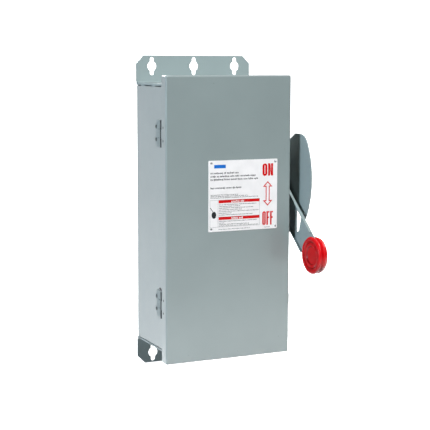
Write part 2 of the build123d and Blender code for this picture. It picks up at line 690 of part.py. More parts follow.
def fuse_caps(x):
    """The two metal end caps of a cartridge fuse."""
    caps = []
    for side in (-1, 1):
        inner = FUSE_Z + side * 53
        outer = FUSE_Z + side * FUSE_LENGTH / 2
        z = tuple(sorted((inner, outer)))
        cap = rod_z(x, FUSE_Y, z, FUSE_R)
        cap = fillet(cap.edges().group_by(Axis.Z)[0 if side < 0 else -1], 1.2)
        pocket = tuple(sorted((FUSE_Z + side * 52, FUSE_Z + side * 56)))
        caps.append(cap - rod_z(x, FUSE_Y, pocket, FUSE_R - 0.7))
    return Compound(caps)


def rotor_bearing():
    """The moulded post that carries the rotor's left end."""
    post = outline([(BASE_BACK, 92), (-82, 99), (-82, 123), (BASE_BACK, 130)], 2.0)
    post -= Pos(ROTOR_Y, ROTOR_Z) * Circle(STUB_R + RUNNING)
    body = plate_x(post, (-100, -93))
    return body + block((-106, -93), (BASE_BACK, -SHEET), (92, 130))


def shield_brackets():
    """The two posts that the line shield swings on."""
    posts = []
    for low, high in ((-96.2, -92.2), (58.2, 62.2)):
        arm = outline([(-SHEET, 176), (-92, 184), (-92, 200), (-SHEET, 200)], 2.0)
        arm -= Pos(SHIELD_Y, SHIELD_Z) * Circle(SHIELD_PIN_R + RUNNING)
        posts.append(plate_x(arm, (low, high)))
    return Compound(posts)


def line_shield():
    """The clear shield over the line terminals, with ears and pivot pins at its top corners."""
    x = (-91.5, 57.5)
    shield = block(x, (-94, -92), (152, 197))
    for low, high, pin in ((x[0], x[0] + 2.5, (-96, x[0] + 1)), (x[1] - 2.5, x[1], (x[1] - 1, 62))):
        ear = outline([(-93, 152), (-84, 160), (-82, 190), (-82, 197), (-93, 197)])
        shield += plate_x(ear, (low, high))
        shield += rod_x(pin, SHIELD_Y, SHIELD_Z, SHIELD_PIN_R)
    return shield


def ground_lug():
    """The grounding lug on the back of the case."""
    lug = block((-92, -74), (-18, -SHEET), (-192, -172))
    return lug - rod_z(-83, -10.5, (-200, -160), 4.0) - rod_y(-83, (-20, -10.5), -182, 3.05)


def door_sheet():
    """The blank data sheet pasted inside the cover."""
    return block((-60, 50), (COVER_INNER, COVER_INNER + 0.3), (-205, -60))


def box_seal_tab():
    """The case's ear behind the cover's seal tab."""
    tab = outline([(CASE_HALF_W, SEAL_Z - 15), (SEAL_TAB_X, SEAL_Z - 9),
                   (SEAL_TAB_X, SEAL_Z + 9), (CASE_HALF_W, SEAL_Z + 15)])
    tab -= Pos(SEAL_HOLE_X, SEAL_Z) * Circle(SEAL_HOLE_R)
    ear = plate_y(tab, -130.0, SHEET)
    return ear + block((CASE_HALF_W, CASE_HALF_W + SHEET), (-130, -112), (SEAL_Z - 15, SEAL_Z + 15))


# ---- every sub-part ----
parts["case_wrapper"] = case_wrapper()
parts["top_end_wall"] = end_wall()
parts["bottom_end_wall"] = mirror(end_wall(), about=Plane.XY)
parts["box_seal_tab"] = box_seal_tab()
parts["cover"] = cover()
parts["cover_gasket"] = gasket()
parts["nameplate"] = nameplate()
parts["nameplate_rivets"] = Compound([
    Pos(x, COVER_FRONT - NAMEPLATE_T, z) * FACING_FRONT * rivet(1.2, 2.3, 0.9, COVER_SHEET + NAMEPLATE_T)
    for x, z in nameplate_rivet_places()
])
parts["door_sheet"] = door_sheet()
for name, z_mid, pin in (("upper", HINGE_Z, straight_pin), ("lower", -HINGE_Z, bent_pin)):
    parts[name + "_box_hinge_leaf"] = box_leaf(z_mid)
    parts[name + "_cover_hinge_leaf"] = cover_leaf(z_mid)
    parts[name + "_hinge_pin"] = pin(z_mid)
parts["box_hinge_rivets"] = Compound([
    Pos(-CASE_HALF_W - 1.6, y, z) * FACING_LEFT * rivet(2.0, 3.6, 1.4, 1.6 + SHEET)
    for y, z in hinge_rivet_places()
])
parts["cover_hinge_rivets"] = Compound([
    Pos(-COVER_HALF_W, y, z) * FACING_LEFT * rivet(1.5, 2.2, 0.5, COVER_SHEET + 1.5)
    for y, z in cover_rivet_places()
])

parts["handle_arm"] = handle_arm()
parts["grip_inner_half"] = grip(-1)
parts["grip_outer_half"] = grip(1)
parts["grip_rivets"] = grip_rivets()
parts["handle_shaft"] = handle_shaft()
parts["handle_hub"] = handle_hub()
parts["handle_nut"] = handle_nut()
parts["retaining_ring"] = retaining_ring()
parts["shaft_bushing"] = shaft_bushing()
parts["bushing_nut"] = bushing_nut()
parts["handle_guard"] = handle_guard()
parts["guard_screws"] = Compound([
    Pos(CASE_HALF_W + SHEET, y, z) * FACING_RIGHT * pan_screw(2.5, 4.8, 2.8, 8)
    for y, z in GUARD_SCREWS
])

parts["mechanism_frame"] = mechanism_frame()
parts["operating_spring"] = operating_spring()
parts["handle_crank"] = crank((PIVOT_Y, PIVOT_Z), SHAFT_R, (98, 101))
parts["handle_crank_pin"] = crank_pin((PIVOT_Y, PIVOT_Z), (91.5, 101))
parts["link"] = link()
parts["rotor_crank"] = crank((ROTOR_Y, ROTOR_Z), STUB_R, (87.5, 90.5))
parts["rotor_crank_pin"] = crank_pin((ROTOR_Y, ROTOR_Z), (87.5, 97.2))
parts["rotor_crossbar"] = crossbar()
parts["rotor_stub_shafts"] = Compound([
    rod_x((-100, -76), ROTOR_Y, ROTOR_Z, STUB_R),
    rod_x((58, 90.5), ROTOR_Y, ROTOR_Z, STUB_R),
])
parts["interlock_cam"] = interlock_cam()
parts["interlock_hook"] = interlock_hook()
parts["rotor_bearing"] = rotor_bearing()

parts["switch_base"] = insulating_base(SWITCH_BASE_Z, [(60, 92), (130, 188)], -80)
parts["fuse_base"] = insulating_base(FUSE_BASE_Z, [(-134, 52)], -42)
parts["base_screws"] = base_screws()
for number, x in enumerate(POLES, 1):
    parts[f"moving_blade_{number}"] = blade(x)
parts["line_contacts"] = Compound([line_contact(x) for x in POLES])
parts["load_contacts"] = Compound([load_contact(x) for x in POLES])
parts["fuse_contacts"] = Compound([fuse_contact(x) for x in POLES])
parts["fuse_tubes"] = Compound([fuse_tube(x) for x in POLES])
parts["fuse_caps"] = Compound([fuse_caps(x) for x in POLES])
parts["line_lugs"] = Compound([wire_lug(x, LINE_LUG_Z) for x in POLES])
parts["load_lugs"] = Compound([wire_lug(x, LOAD_LUG_Z) for x in POLES])
parts["lug_screws"] = Compound([lug_screw(x, sum(z) / 2) for x in POLES for z in (LINE_LUG_Z, LOAD_LUG_Z)])
parts["line_shield"] = line_shield()
parts["shield_brackets"] = shield_brackets()
parts["ground_lug"] = ground_lug()
parts["ground_screw"] = Pos(-83, -18, -182) * FACING_FRONT * pan_screw(3.0, 4.6, 2.6, 3.4)

os.makedirs("parts", exist_ok=True)
for name, shape in parts.items():
    export_step(shape, f"parts/{name}.step")
print(len(parts), "nodes")
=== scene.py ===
import math
import random

import bmesh
import bpy
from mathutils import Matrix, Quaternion, Vector


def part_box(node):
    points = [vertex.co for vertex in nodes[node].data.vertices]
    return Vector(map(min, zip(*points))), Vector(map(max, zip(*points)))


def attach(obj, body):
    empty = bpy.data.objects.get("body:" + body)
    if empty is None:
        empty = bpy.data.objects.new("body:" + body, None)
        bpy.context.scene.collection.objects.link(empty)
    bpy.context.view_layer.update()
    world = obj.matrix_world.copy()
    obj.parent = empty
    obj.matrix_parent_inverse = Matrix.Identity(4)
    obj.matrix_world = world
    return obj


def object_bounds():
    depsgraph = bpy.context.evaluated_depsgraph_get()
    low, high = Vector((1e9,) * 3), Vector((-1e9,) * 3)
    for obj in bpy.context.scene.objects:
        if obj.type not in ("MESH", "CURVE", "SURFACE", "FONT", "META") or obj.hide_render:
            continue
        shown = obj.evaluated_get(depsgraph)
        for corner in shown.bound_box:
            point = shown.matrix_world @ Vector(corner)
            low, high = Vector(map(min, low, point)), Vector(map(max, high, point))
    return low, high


# The looks of a side-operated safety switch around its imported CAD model: paint, plastics,
# metals, the printing on its nameplate, the floor, the lights and the camera.
# Metres. +Z is up, +X is to the right seen from the front, and the front faces -Y.

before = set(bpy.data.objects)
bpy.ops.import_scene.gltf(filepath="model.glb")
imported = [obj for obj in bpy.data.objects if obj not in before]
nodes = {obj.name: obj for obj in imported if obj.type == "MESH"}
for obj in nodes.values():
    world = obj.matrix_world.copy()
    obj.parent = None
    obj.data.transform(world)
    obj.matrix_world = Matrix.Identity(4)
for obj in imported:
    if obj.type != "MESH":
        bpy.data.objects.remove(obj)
cad_low, cad_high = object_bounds()
MM = 0.001
INK = 0.04 * MM  # how proud a layer of print stands
HINGE_Y = -0.1235  # of the axis that the cover swings on
BARREL = 2.8 * MM  # the painted shadow on the hinge's barrel is full out to this far from its axis
ENAMEL = 3.0 * MM  # and fades out by here, where the enamel shows whole
GRIP_CENTRE = (-0.21265, -0.06224)  # Y and Z of the red grip's axis in the off position
GRIP_REACH = 33 * MM  # a little more than the grip's radius


# ---- material building ----
class Shader:
    """A Principled material with short ways to add the nodes that this file uses."""

    # A Mix node has sockets for each kind of value. These are its factor, its two colours
    # and its resulting colour.
    MIX_INPUTS = (0, 6, 7)
    MIX_RESULT = 2

    def __init__(self, name, colour, roughness, **settings):
        self.material = bpy.data.materials.new(name)
        self.material.use_nodes = True
        self.material.diffuse_color = (*colour, 1)
        self.tree = self.material.node_tree
        self.main = self.tree.nodes["Principled BSDF"]
        self.main.inputs["Base Color"].default_value = (*colour, 1)
        self.main.inputs["Roughness"].default_value = roughness
        for socket, value in settings.items():
            self.main.inputs[socket.replace("_", " ")].default_value = value
        self.place = self.node("ShaderNodeTexCoord").outputs["Object"]

    def node(self, kind, **fields):
        """Adds a node and sets its fields."""
        made = self.tree.nodes.new(kind)
        for field, value in fields.items():
            setattr(made, field, value)
        return made

    def link(self, source, target):
        self.tree.links.new(source, target)

    def noise(self, scale, detail, stretch=(1, 1, 1)):
        """Noise between 0 and 1, so many grains a metre, drawn out along an axis if asked."""
        mapping = self.node("ShaderNodeMapping")
        mapping.inputs["Scale"].default_value = stretch
        self.link(self.place, mapping.inputs["Vector"])
        texture = self.node("ShaderNodeTexNoise")
        texture.inputs["Scale"].default_value = scale
        texture.inputs["Detail"].default_value = detail
        self.link(mapping.outputs["Vector"], texture.inputs["Vector"])
        return texture.outputs["Fac"]

    def ramp(self, source, *stops):
        """A colour ramp, from (place, colour or grey) stops."""
        ramp = self.node("ShaderNodeValToRGB")
        elements = ramp.color_ramp.elements
        while len(elements) < len(stops):
            elements.new(0.5)
        for element, (place, value) in zip(elements, stops):
            element.position = place
            element.color = (*value, 1) if isinstance(value, tuple) else (value, value, value, 1)
        self.link(source, ramp.inputs["Fac"])
        return ramp.outputs["Color"]

    def mix(self, amount, one, other, blend="MIX"):
        """Mixes two colours or sockets. The amount is a number or a socket too."""
        mixer = self.node("ShaderNodeMix", data_type="RGBA", blend_type=blend)
        for socket, value in zip(self.MIX_INPUTS, (amount, one, other)):
            if isinstance(value, bpy.types.NodeSocket):
                self.link(value, mixer.inputs[socket])
            elif isinstance(value, tuple):
                mixer.inputs[socket].default_value = (*value, 1)
            else:
                mixer.inputs[socket].default_value = value
        return mixer.outputs[self.MIX_RESULT]

    def along(self, axis):
        """The position along X, Y or Z, in metres."""
        apart = self.node("ShaderNodeSeparateXYZ")
        self.link(self.place, apart.inputs["Vector"])
        return apart.outputs[axis]

    def share(self, source, low, high):
        """How far a value has come from low to high, between 0 and 1."""
        span = self.node("ShaderNodeMapRange")
        span.inputs["From Min"].default_value = low
        span.inputs["From Max"].default_value = high
        self.link(source, span.inputs["Value"])
        return span.outputs["Result"]

    def colour(self, source):
        """A texture for the base colour."""
        self.link(source, self.main.inputs["Base Color"])

    def roughness(self, source, low, high):
        """Roughness that follows a texture between two values."""
        spread = self.node("ShaderNodeMapRange")
        spread.inputs["To Min"].default_value = low
        spread.inputs["To Max"].default_value = high
        self.link(source, spread.inputs["Value"])
        self.link(spread.outputs["Result"], self.main.inputs["Roughness"])

    def bump(self, source, height, strength=1.0):
        """Raises the surface by a texture, by up to the height in metres."""
        bump = self.node("ShaderNodeBump")
        bump.inputs["Distance"].default_value = height
        bump.inputs["Strength"].default_value = strength
        previous = self.main.inputs["Normal"].links
        if previous:
            self.link(previous[0].from_socket, bump.inputs["Normal"])
        self.link(source, bump.inputs["Height"])
        self.link(bump.outputs["Normal"], self.main.inputs["Normal"])


def painted_steel(name, colour, gloss=1.0):
    """Baked enamel on sheet steel: faint clouds in the colour, orange peel, and a few specks."""
    paint = Shader(
        name,
        colour,
        0.34,
        Specular_IOR_Level=0.5 * gloss,
        Coat_Weight=0.3 * gloss,
        Coat_Roughness=0.14,
    )
    darker = tuple(0.955 * c for c in colour)
    lighter = tuple(min(1, 1.035 * c) for c in colour)
    clouds = paint.ramp(paint.noise(9, 3), (0.3, darker), (0.7, lighter))
    speck_spots = paint.ramp(paint.noise(260, 1), (0.80, 0.0), (0.83, 1.0))
    speck = tuple(0.72 * c for c in colour)
    paint.colour(paint.mix(speck_spots, clouds, speck))
    paint.roughness(paint.noise(60, 3), 0.29, 0.41)
    paint.bump(paint.noise(950, 2), 0.06 * MM)
    paint.bump(paint.noise(24, 2), 0.4 * MM, 0.35)
    return paint.material


def shaded_hinge_enamel(name, colour, axis_y):
    """The same enamel, with a near-black painted shadow on the barrel round the hinge axis, for the
    dark gap that the barrel sits in.
    """
    enamel = Shader(name, colour, 0.4, Specular_IOR_Level=0.25)
    away = enamel.node("ShaderNodeMath", operation="SUBTRACT")
    away.inputs[1].default_value = axis_y
    enamel.link(enamel.along("Y"), away.inputs[0])
    distance = enamel.node("ShaderNodeMath", operation="ABSOLUTE")
    enamel.link(away.outputs["Value"], distance.inputs[0])
    out_of_shadow = enamel.share(distance.outputs["Value"], BARREL, ENAMEL)
    # Painted shadow: the barrel is near black, standing in for the shade in the gap behind the
    # cover's flange.
    barrel_shadow = (0.010, 0.014, 0.016)
    darker = tuple(0.82 * c for c in colour)
    clouds = enamel.ramp(enamel.noise(120, 3), (0.3, darker), (0.7, colour))
    enamel.colour(enamel.mix(out_of_shadow, barrel_shadow, clouds))
    enamel.roughness(enamel.noise(200, 2), 0.35, 0.5)
    enamel.bump(enamel.noise(950, 2), 0.03 * MM)
    return enamel.material


def moulded_plastic(name, colour, roughness):
    """Moulded plastic with a fine eroded texture and slight flow marks in its colour."""
    plastic = Shader(name, colour, roughness)
    darker = tuple(0.88 * c for c in colour)
    lighter = tuple(min(1, 1.1 * c) for c in colour)
    plastic.colour(plastic.ramp(plastic.noise(30, 4), (0.3, darker), (0.7, lighter)))
    plastic.roughness(plastic.noise(140, 3), roughness * 0.85, min(1, roughness * 1.2))
    plastic.bump(plastic.noise(1400, 2), 0.05 * MM)
    return plastic.material


def worked_metal(name, colour, roughness):
    """Rolled or drawn metal, with fine level marks and slight tarnish."""
    metal = Shader(name, colour, roughness, Metallic=1.0)
    tarnish = tuple(0.78 * c for c in colour)
    marks = metal.noise(420, 4, (1, 1, 14))
    clouds = metal.ramp(metal.noise(36, 4), (0.35, tarnish), (0.65, colour))
    metal.colour(metal.mix(0.18, clouds, metal.ramp(marks, (0.2, 0.55), (0.8, 1.0)), "MULTIPLY"))
    metal.roughness(marks, roughness * 0.8, roughness * 1.35)
    metal.bump(marks, 0.03 * MM)
    return metal.material


def labelled_fibre(name, colour, low, high):
    """Fuse tube fibre with a paper band round its middle, between two stripes."""
    tube = Shader(name, colour, 0.5, Specular_IOR_Level=0.35)
    label = (0.66, 0.63, 0.54)
    stripe = (0.45, 0.07, 0.03)
    band = tube.ramp(
        tube.share(tube.along("Z"), low, high),
        (0.0, colour),
        (0.22, label),
        (0.28, stripe),
        (0.31, label),
        (0.69, stripe),
        (0.72, label),
        (0.78, colour),
    )
    band.node.color_ramp.interpolation = "CONSTANT"
    soiling = tube.ramp(tube.noise(60, 4), (0.3, 0.7), (0.7, 1.0))
    tube.colour(tube.mix(0.35, band, soiling, "MULTIPLY"))
    tube.roughness(tube.noise(200, 3), 0.42, 0.6)
    tube.bump(tube.noise(900, 2), 0.03 * MM)
    return tube.material


def red_grip():
    """Red moulded plastic with faint streaks, and painted shade in the grooves of its round faces.
    """
    colour = (0.58, 0.003, 0.0065)
    red = Shader(
        "red_grip",
        colour,
        0.26,
        Specular_IOR_Level=0.13,
        Coat_Weight=0.1,
        Coat_Roughness=0.1,
    )
    deep = (0.52, 0.003, 0.006)
    light = (0.60, 0.0035, 0.007)
    streaks = red.ramp(red.noise(55, 3), (0.3, deep), (0.7, light))
    centre = red.node("ShaderNodeMapping")
    centre.inputs["Location"].default_value = (0, -GRIP_CENTRE[0], -GRIP_CENTRE[1])
    centre.inputs["Scale"].default_value = (0, 1, 1)
    red.link(red.place, centre.inputs["Vector"])
    away = red.node("ShaderNodeVectorMath", operation="LENGTH")
    red.link(centre.outputs["Vector"], away.inputs[0])
    # Painted shade: rings of darker red at the radii of the face's grooves, where they lie in
    # shadow.
    groove_shade = red.ramp(
        red.share(away.outputs["Value"], 0, GRIP_REACH),
        (0.42, 1.0),
        (0.46, 0.45),
        (0.50, 1.0),
        (0.64, 1.0),
        (0.69, 0.38),
        (0.74, 1.0),
    )
    red.colour(red.mix(1.0, streaks, groove_shade, "MULTIPLY"))
    red.roughness(red.noise(220, 3), 0.20, 0.30)
    red.bump(red.noise(500, 2), 0.01 * MM)
    return red.material


def clear_plastic():
    """A slightly smoky clear sheet with faint scratches."""
    clear = Shader("clear_plastic", (0.86, 0.92, 0.94), 0.08, IOR=1.49, Alpha=0.24)
    smoky = (0.82, 0.89, 0.92)
    clearer = (0.9, 0.95, 0.96)
    clear.colour(clear.ramp(clear.noise(20, 2), (0.3, smoky), (0.7, clearer)))
    scratches = clear.noise(500, 3, (1, 1, 20))
    clear.roughness(scratches, 0.05, 0.16)
    clear.bump(scratches, 0.01 * MM)
    return clear.material


def foam():
    """Black closed-cell foam."""
    rubber = Shader("foam_gasket", (0.018, 0.018, 0.019), 0.85)
    cells = rubber.node("ShaderNodeTexVoronoi")
    cells.inputs["Scale"].default_value = 1300
    rubber.link(rubber.place, cells.inputs["Vector"])
    rubber.colour(rubber.ramp(cells.outputs["Distance"], (0.0, 0.008), (0.6, 0.035)))
    rubber.bump(cells.outputs["Distance"], 0.2 * MM)
    return rubber.material


def printed_film(name, colour, roughness=0.38):
    """Ink, film or paper of a plate or sheet, with a very fine grain."""
    film = Shader(name, colour, roughness, Specular_IOR_Level=0.2)
    darker = tuple(0.94 * c for c in colour)
    film.colour(film.ramp(film.noise(70, 3), (0.35, darker), (0.65, colour)))
    film.roughness(film.noise(300, 2), roughness * 0.85, roughness * 1.2)
    film.bump(film.noise(1600, 2), 0.02 * MM)
    return film.material


PAINT = (0.215, 0.257, 0.256)
paint = painted_steel("grey_enamel", PAINT)
# Painted light: the case's own enamel made 1.22 times lighter, a lit copy for the end walls, the
# guard and the handle arm; it is also less glossy.
matt_lit_paint = painted_steel("matt_lit_grey_enamel", tuple(1.22 * c for c in PAINT), 0.2)
shaded_hinge_paint = shaded_hinge_enamel("shaded_hinge_enamel", tuple(1.12 * c for c in PAINT), HINGE_Y)
# Painted shade: the hinge rivets get the case's enamel at 0.3 of its brightness, standing in for
# the shadows round their heads.
shaded_rivet_paint = painted_steel("hinge_rivets", tuple(0.3 * c for c in PAINT), 0.6)
dark_steel = worked_metal("dark_steel", (0.10, 0.105, 0.11), 0.42)
zinc_steel = worked_metal("zinc_steel", (0.60, 0.60, 0.57), 0.33)
copper = worked_metal("bare_copper", (0.80, 0.40, 0.24), 0.28)
plated_copper = worked_metal("plated_copper", (0.70, 0.68, 0.62), 0.30)
aluminium = worked_metal("lug_aluminium", (0.72, 0.73, 0.74), 0.36)
brass = worked_metal("bush_brass", (0.70, 0.52, 0.24), 0.32)
bright_rivet = worked_metal("bright_rivet", (0.30, 0.30, 0.31), 0.25)
black_moulding = moulded_plastic("moulded_base", (0.035, 0.035, 0.038), 0.48)
brown_moulding = moulded_plastic("moulded_bar", (0.11, 0.035, 0.02), 0.44)
tubes_low, tubes_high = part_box("fuse_tubes")
fibre = labelled_fibre("fuse_fibre", (0.045, 0.075, 0.17), tubes_low.z, tubes_high.z)
green_enamel = moulded_plastic("green_screw", (0.02, 0.17, 0.045), 0.35)
grip_red = red_grip()
clear = clear_plastic()
gasket_foam = foam()
white_film = printed_film("nameplate_film", (0.84, 0.81, 0.81))
paper = printed_film("paper_sheet", (0.74, 0.74, 0.70), 0.7)
red_ink = printed_film("red_ink", (0.56, 0.001, 0.002))
dark_ink = printed_film("dark_ink", (0.010, 0.010, 0.012))
grey_ink = printed_film("grey_ink", (0.07, 0.07, 0.075))
blue_ink = printed_film("blue_ink", (0.008, 0.14, 0.52))

finishes = {
    paint: ("case_wrapper", "box_seal_tab", "cover"),
    matt_lit_paint: ("top_end_wall", "bottom_end_wall", "handle_guard", "handle_arm"),
    shaded_hinge_paint: (
        "upper_box_hinge_leaf",
        "lower_box_hinge_leaf",
        "upper_cover_hinge_leaf",
        "lower_cover_hinge_leaf",
    ),
    shaded_rivet_paint: ("box_hinge_rivets", "cover_hinge_rivets"),
    dark_steel: ("upper_hinge_pin", "lower_hinge_pin", "operating_spring"),
    zinc_steel: (
        "handle_shaft",
        "handle_hub",
        "handle_nut",
        "retaining_ring",
        "guard_screws",
        "mechanism_frame",
        "handle_crank",
        "handle_crank_pin",
        "link",
        "rotor_crank",
        "rotor_crank_pin",
        "rotor_stub_shafts",
        "interlock_cam",
        "interlock_hook",
        "base_screws",
        "lug_screws",
        "grip_rivets",
        "bushing_nut",
    ),
    bright_rivet: ("nameplate_rivets",),
    copper: ("moving_blade_1", "moving_blade_2", "moving_blade_3"),
    plated_copper: ("line_contacts", "load_contacts", "fuse_contacts", "fuse_caps"),
    aluminium: ("line_lugs", "load_lugs", "ground_lug"),
    brass: ("shaft_bushing",),
    black_moulding: ("switch_base", "fuse_base"),
    brown_moulding: ("rotor_crossbar", "rotor_bearing", "shield_brackets"),
    fibre: ("fuse_tubes",),
    green_enamel: ("ground_screw",),
    grip_red: ("grip_inner_half", "grip_outer_half"),
    clear: ("line_shield",),
    gasket_foam: ("cover_gasket",),
    white_film: ("nameplate",),
    paper: ("door_sheet",),
}
for material, names in finishes.items():
    for name in names:
        mesh = nodes[name].data
        mesh.materials.clear()
        mesh.materials.append(material)
unfinished = set(nodes) - {name for names in finishes.values() for name in names}
assert not unfinished, unfinished


# ---- printing on the nameplate and the door sheet ----
class Print:
    """One colour of ink on a sheet that faces -Y or +Y: flat shapes, raised a little at the end."""

    def __init__(self, name, node, material, slot, layer=1, facing=-1):
        self.name = name
        self.material = material
        self.slot = slot
        self.facing = facing
        self.low, self.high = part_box(node)
        face = self.low.y if facing < 0 else self.high.y
        self.base = face + facing * INK * (layer - 1)
        self.mesh = bmesh.new()

    def corners(self, points):
        """New vertices at (x, z) points, in millimetres from the sheet's lower left corner."""
        made = []
        for x, z in points:
            along = self.low.x + x * MM if self.facing < 0 else self.high.x - x * MM
            made.append(self.mesh.verts.new((along, self.base, self.low.z + z * MM)))
        return made

    def shape(self, points):
        """A filled outline."""
        self.mesh.faces.new(self.corners(points))

    def bar(self, x0, x1, z0, z1):
        """A filled rectangle."""
        self.shape([(x0, z0), (x1, z0), (x1, z1), (x0, z1)])

    def ring(self, outer, inner):
        """The band between two outlines with the same number of points."""
        outside = self.corners(outer)
        inside = self.corners(inner)
        for i in range(len(outer)):
            j = (i + 1) % len(outer)
            self.mesh.faces.new((outside[i], outside[j], inside[j], inside[i]))

    def frame(self, x0, x1, z0, z1, width):
        """A rectangle's outline."""
        outer = [(x0, z0), (x1, z0), (x1, z1), (x0, z1)]
        inner = [
            (x0 + width, z0 + width),
            (x1 - width, z0 + width),
            (x1 - width, z1 - width),
            (x0 + width, z1 - width),
        ]
        self.ring(outer, inner)

    def words(self, x0, x1, z, height, draw):
        """A line of marks that looks like small print from afar, and says nothing."""
        low_top = 0.72 * height
        x = x0
        while x < x1 - 2 * height:
            for _ in range(draw.randint(2, 9)):
                width = height * draw.uniform(0.42, 0.66)
                if x + width > x1:
                    break
                top = height if draw.random() < 0.3 else low_top
                foot = -0.22 * height if draw.random() < 0.12 else 0
                if draw.random() < 0.45:
                    left, right = x + 0.36 * width, x + 0.64 * width
                    self.bar(x, left, z + foot, z + top)
                    self.bar(right, x + width, z, z + low_top)
                    self.bar(left, right, z + 0.45 * height, z + low_top)
                else:
                    self.bar(x, x + 0.8 * width, z + foot, z + top)
                x += width + 0.14 * height
            x += 0.45 * height

    def done(self, body):
        """Raises the shapes into closed solids, and puts them on a body as one piece."""
        flat = list(self.mesh.faces)
        raised = bmesh.ops.extrude_face_region(self.mesh, geom=flat, use_keep_orig=True)["geom"]
        verts = [v for v in raised if isinstance(v, bmesh.types.BMVert)]
        bmesh.ops.translate(self.mesh, verts=verts, vec=(0, self.facing * INK, 0))
        bmesh.ops.recalc_face_normals(self.mesh, faces=self.mesh.faces)
        mesh = bpy.data.meshes.new(self.name)
        self.mesh.to_mesh(mesh)
        self.mesh.free()
        mesh.materials.append(self.material)
        piece = bpy.data.objects.new(self.name, mesh)
        bpy.context.scene.collection.objects.link(piece)
        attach(piece, body)


def rounded(x0, x1, z0, z1, radius):
    """A rectangle's outline with round corners."""
    steps = 6
    points = []
    for cx, cz, start in (
        (x1 - radius, z1 - radius, 0),
        (x0 + radius, z1 - radius, 90),
        (x0 + radius, z0 + radius, 180),
        (x1 - radius, z0 + radius, 270),
    ):
        for i in range(steps + 1):
            angle = math.radians(start + 90 * i / steps)
            points.append((cx + radius * math.cos(angle), cz + radius * math.sin(angle)))
    return points


def letter_o(ink, x, z, width, height, stem):
    outer = rounded(x, x + width, z, z + height, 0.46 * width)
    low, high = z + 0.8 * stem, z + height - 0.8 * stem
    inner = rounded(x + stem, x + width - stem, low, high, 0.45 * width - 0.9 * stem)
    ink.ring(outer, inner)


def letter_n(ink, x, z, width, height, stem):
    right = x + width
    top = z + height
    ink.shape(
        [
            (x, z),
            (x + stem, z),
            (x + stem, z + 0.62 * height),
            (right - 1.05 * stem, z),
            (right, z),
            (right, top),
            (right - stem, top),
            (right - stem, z + 0.38 * height),
            (x + 1.05 * stem, top),
            (x, top),
        ]
    )


def letter_f(ink, x, z, width, height, stem):
    top = z + height
    middle = z + 0.60 * height
    arm = 0.85 * stem
    ink.shape(
        [
            (x, z),
            (x + stem, z),
            (x + stem, middle - arm),
            (x + 0.9 * width, middle - arm),
            (x + 0.9 * width, middle),
            (x + stem, middle),
            (x + stem, top - arm),
            (x + width, top - arm),
            (x + width, top),
            (x, top),
        ]
    )


def double_arrow(ink, middle, z0, z1, head_width, head_height, shaft_width):
    """An upright arrow with a head at each end."""
    head = head_width / 2
    shaft = shaft_width / 2
    right = [
        (middle, z0),
        (middle + head, z0 + head_height),
        (middle + shaft, z0 + head_height),
        (middle + shaft, z1 - head_height),
        (middle + head, z1 - head_height),
        (middle, z1),
    ]
    left = [(2 * middle - x, z) for x, z in reversed(right[1:-1])]
    ink.shape(right + left)


# All of the layout is in millimetres from the lower left corner of the plate or the sheet.
PLATE = "nameplate"
MARGIN = 3.8  # where the lines of print start
RULE = 0.3  # thickness of a ruled line
draw = random.Random(7)

STEM = 4.1
ON_FOOT, ON_HEIGHT = 91.8, 21.2
THIN_STEM = 3.05
OFF_FOOT, OFF_HEIGHT = 6.7, 23.7
ARROW = {
    "middle": 111.9,
    "z0": 39.8,
    "z1": 82.5,
    "head_width": 18.6,
    "head_height": 9.8,
    "shaft_width": 7.6,
}
BAR_FEET = (48.4, 19.7)
BAR_HEIGHT = 4.9
red = Print("nameplate_red_ink", PLATE, red_ink, "nameplate_face")
letter_o(red, 101.7, ON_FOOT, 9.3, ON_HEIGHT, STEM)
letter_n(red, 112.4, ON_FOOT, 9.7, ON_HEIGHT, STEM)
letter_o(red, 101.8, OFF_FOOT, 6.9, OFF_HEIGHT, THIN_STEM)
letter_f(red, 109.9, OFF_FOOT, 5.9, OFF_HEIGHT, THIN_STEM)
letter_f(red, 117.0, OFF_FOOT, 5.9, OFF_HEIGHT, THIN_STEM)
double_arrow(red, **ARROW)
for foot in BAR_FEET:
    red.bar(19.0, 96.4, foot, foot + BAR_HEIGHT)
red.done("door")

# The white inside of the arrow and the marks on the red bars lie on the red.
OUTLINE = 1.75
INSET = 1.43 * OUTLINE  # from the tip of the arrow to the tip of its inside
inner_height = ARROW["head_height"] - INSET - OUTLINE
white = Print("nameplate_white_ink", PLATE, white_film, "nameplate_face", layer=2)
double_arrow(
    white,
    ARROW["middle"],
    ARROW["z0"] + INSET,
    ARROW["z1"] - INSET,
    ARROW["head_width"] * inner_height / ARROW["head_height"],
    inner_height,
    ARROW["shaft_width"] - 2 * OUTLINE,
)
for foot in BAR_FEET:
    white.words(43.0, 71.0, foot + 0.7, 3.5, draw)
white.done("door")

blue = Print("nameplate_blue_ink", PLATE, blue_ink, "nameplate_face")
blue.bar(10.5, 32.1, 107.6, 113.5)
blue.done("door")

dark = Print("nameplate_dark_ink", PLATE, dark_ink, "nameplate_face")
for end, z in ((57.5, 98.0), (88.4, 92.5), (95.0, 87.0), (63.0, 72.8)):
    dark.words(MARGIN, end, z, 3.0, draw)
# A plain oval with a stroke above it.
OVAL_STEPS = 24
turns = [2 * math.pi * i / OVAL_STEPS for i in range(OVAL_STEPS)]
dark.shape([(10.2 + 4.3 * math.cos(a), 28.4 + 6.0 * math.sin(a)) for a in turns])
dark.shape([(3.0, 40.8), (3.8, 41.6), (8.4, 35.0), (7.6, 34.2)])
dark.done("door")

PANEL_LEFT, PANEL_MIDDLE, PANEL_RIGHT = 2.8, 17.6, 96.6
PANEL_LOW, PANEL_HIGH = 7.4, 53.6
PANEL_SPLIT = 24.6
